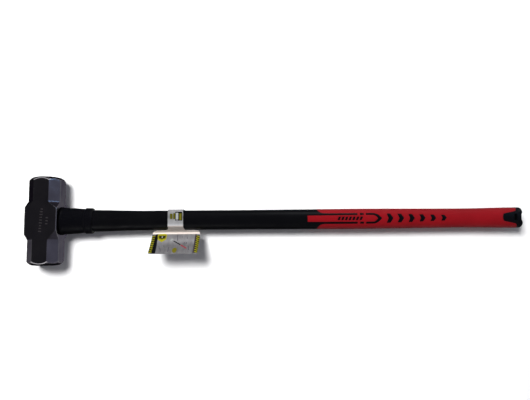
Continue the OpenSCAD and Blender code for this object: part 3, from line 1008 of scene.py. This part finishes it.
def build_print():
    """Plain shapes stand for the print: striped borders, a badge, a small hammer, a spot and some
    bars in place of words."""
    w = PANEL_HALF
    badge = [(-33.8, 4.0), (-31.0, 1.6), (-19.6, 1.6), (-16.8, 4.0), (-17.4, 15.5), (-24.6, 21.6),
             (-32.4, 15.5)]
    field = [(-32.4, 5.4), (-18.2, 5.4), (-18.8, 12.6), (-24.8, 15.4), (-31.4, 12.6)]
    aim = math.degrees(math.atan2(18.0, 24.4))  # of the small hammer
    panel = stripes(-w + 0.15, -w + 6.4, 1) + stripes(w - 6.4, w - 0.15, -1) + [
        (BLACK, [(-37.6, 2.6), (-33.2, 2.6), (-31.0, 49), (-37.6, 49)], 0),
        (BROWN, [(34.9, 3.0), (37.6, 3.0), (37.4, 49), (35.2, 49)], 0),
        (YELLOW, rounded(badge, 1.2), 1),
        (OLIVE, rounded(field, 1.4), 2),
        (BLACK, bar(-25.2, 9.1, 9.4, 3.6, corner=0.6), 3),
        (WHITE, bar(-25.0, 9.2, 2.4, 3.0), 4),
        (WHITE, bar(-6.6, 15.8, 3.2, 5.6, aim, 0.8), 1),
        (BLACK, bar(4.0, 23.4, 17.0, 2.1, aim - 2, 0.6), 1),
        (INK_RED, bar(17.2, 32.8, 14.6, 2.3, aim, 0.8), 1),
        (OCHRE, ellipse(2.2, 41.6, 4.1, 6.4), 1)]
    panel += [(GREY, bar(x, down, wide, high, -turn, 0.3), 1) for x, down, high, wide, turn in (
        (3.4, 10.6, 15.0, 1.1, 6), (17.2, 24.5, 5.2, 1.4, 0), (20.9, 24.5, 5.2, 1.4, 0),
        (26.3, 35.8, 11.0, 1.2, 12), (-9.3, 39.5, 12.0, 1.2, -3), (21.5, 11.5, 5.0, 0.8, 0),
        (-26.5, 35.0, 9.0, 0.9, 14), (-23.5, 40.0, 8.0, 0.8, 14), (-18.5, 31.0, 5.0, 0.8, 8),
        (11.5, 9.5, 5.0, 0.7, 0))]
    print_on("panel_print", "panel", on_panel, panel)
    print_on("strap_print", "strap", on_strap, [
        (BLACK, bar(6.0, 6.4, 12.9, 16.2, corner=0.8), 0),
        (WHITE, bar(2.9, 6.4, 4.6, 12.4, corner=0.6), 1),
        (OLIVE, bar(8.9, 5.6, 5.0, 13.0, corner=0.6), 1),
        (OCHRE, bar(9.2, 5.0, 2.2, 10.6, corner=0.5), 2),
        (GREY, ellipse(2.9, -0.6, 1.9, 1.9), 2), (WHITE, ellipse(2.9, -0.6, 1.0, 1.0), 3),
        (OLIVE, bar(-7.6, 6.2, 5.0, 9.8, corner=1.6), 0),
        (OLIVE, bar(-2.2, 6.6, 3.8, 11.4, corner=1.4), 0)])


build_head()
build_marks()
build_eye()
build_collar()
build_jacket()
build_cover()
for side in ("upper", "lower"):
    for part, loops in (("outline", outline_loops()), ("bars", bar_loops()),
                        ("chevrons", chevron_loops())):
        inlay(f"{part}_{side}", loops, [f"grip_{part}_{side}"], side == "lower")
build_cap()
build_card()
build_print()


# ---- Floor, light and camera ----
def build_floor():
    mesh = bpy.data.meshes.new("floor")
    a = 6.0  # metres from the middle to each side
    mesh.from_pydata([(-a, -a, 0), (a, -a, 0), (a, a, 0), (-a, a, 0)], [], [(0, 1, 2, 3)])
    mesh.materials.append(shader("floor", (0.9, 0.9, 0.9), 0.9, specular=0.1)[0])
    floor = in_scene("floor", mesh)
    floor.location = (CROWN_X, 0, -0.0002)
    floor.visible_glossy = False  # the room's gradient stands in for its reflection


def area_light(name, location, target, size, power, color=(1, 1, 1), mirrored=True):
    """An area light. A mirrored one only shows in reflections, and the other never does."""
    data = bpy.data.lights.new(name, "AREA")
    data.shape = "RECTANGLE"
    data.size, data.size_y = size
    data.energy = power
    data.color = color
    lamp = in_scene(name, data)
    lamp.location = location
    lamp.rotation_euler = (Vector(target) - lamp.location).to_track_quat("-Z", "Y").to_euler()
    lamp.visible_glossy = mirrored
    lamp.visible_diffuse = not mirrored


def build_room():
    """The room as a gradient by direction: dark overhead and below, paler at the horizon, with a
    low glow beyond the butt and a bright wall at each end. The camera sees a plain grey."""
    world = bpy.data.worlds.new("studio")
    bpy.context.scene.world = world
    world.use_nodes = True
    tree = world.node_tree
    source = add_node(tree, "TexCoord", {}).outputs["Generated"]
    split = add_node(tree, "SeparateXYZ", {"Vector": source})
    x, y, z = (split.outputs[k] for k in "XYZ")

    def calc(operation, *values):
        return add_node(tree, "Math", dict(enumerate(values)), operation=operation).outputs[0]

    levels = ((0.0, 0.03), (0.43, 0.05), (0.5, 0.1), (0.56, 0.13), (0.64, 0.15), (0.78, 0.11),
              (0.87, 0.1), (0.94, 0.11), (1.0, 0.09))
    color = color_ramp(tree, spread(tree, z, 0, 1, -1, 1),
                       [(at, (level, level * 0.98, level * 1.04)) for at, level in levels])
    aside = calc("ABSOLUTE", y)
    past_butt = calc("SUBTRACT", x, calc("MULTIPLY", aside, 0.75))
    past_crown = calc("SUBTRACT", calc("MULTIPLY", x, -1.0), aside)
    glow = (0.38, 0.35, 0.42)
    crown_wall = blend_color(tree, spread(tree, y, 0, 1, 0.0, 0.08), (1.07, 1.14, 0.96),
                             (0.1, 0.1, 0.1))
    butt_wall = blend_color(tree, spread(tree, z, 0, 1, -0.5, 0.1), (1.38, 1.5, 1.28),
                            (0.49, 0.49, 0.6))
    for tone, reach, (low, high), (top, over) in (
            (glow, x, (0.24, 0.34), (-0.02, 0.1)), (crown_wall, past_crown, (0.3, 0.6), (0.3, 0.5)),
            (butt_wall, past_butt, (0.1, 0.3), (0.6, 0.78))):
        share = calc("MULTIPLY", spread(tree, reach, 0, 1, low, high),
                     spread(tree, z, 1, 0, top, over))
        color = blend_color(tree, share, color, tone)
    seen = add_node(tree, "LightPath", {}).outputs["Is Camera Ray"]
    tree.links.new(blend_color(tree, seen, color, (0.8, 0.8, 0.8)),
                   tree.nodes["Background"].inputs["Color"])


def build_light():
    """A soft key from the upper left, and cards that only show as reflections: two long low ones
    along the handle and a small blue one beyond the butt."""
    area_light("key", (-0.98, 0.92, 2.5), (0, 0, 0), (1.0, 1.0), 124, mirrored=False)
    area_light("low_fill", (-0.75, -1.9, 0.95), (-0.25, 0, 0), (0.9, 0.35), 3.0)
    area_light("back_fill", (0.6, 1.9, 0.95), (0.1, 0, 0), (0.8, 0.35), 7.0, (0.92, 0.95, 1))
    area_light("blue_card", (3.03, 1.5, 1.6), (-0.43, 0, 0), (0.6, 0.6), 16, (0.35, 0.65, 1))


def build_camera():
    """Nearly straight down, 925 mm over the axis of the handle and 50 mm short of its middle."""
    data = bpy.data.cameras.new("camera")
    data.sensor_fit = "HORIZONTAL"
    data.sensor_width = 36.0
    data.lens = 33.66
    data.clip_end = 50
    camera = in_scene("camera", data)
    tilt, pan, roll = (math.radians(a) for a in (-5.607, 1.596, 0.383))
    turn = (Matrix.Rotation(roll, 3, "Z") @ Matrix.Rotation(pan, 3, "Y")
            @ Matrix.Rotation(tilt, 3, "X")).transposed()
    place = to_row([[406.27, -54.11, 924.73]])[0]
    camera.matrix_world = Matrix.Translation(place) @ turn.to_4x4()
    bpy.context.scene.camera = camera
    bpy.context.scene.view_settings.view_transform = "Standard"


build_floor()
build_room()
build_light()
build_camera()
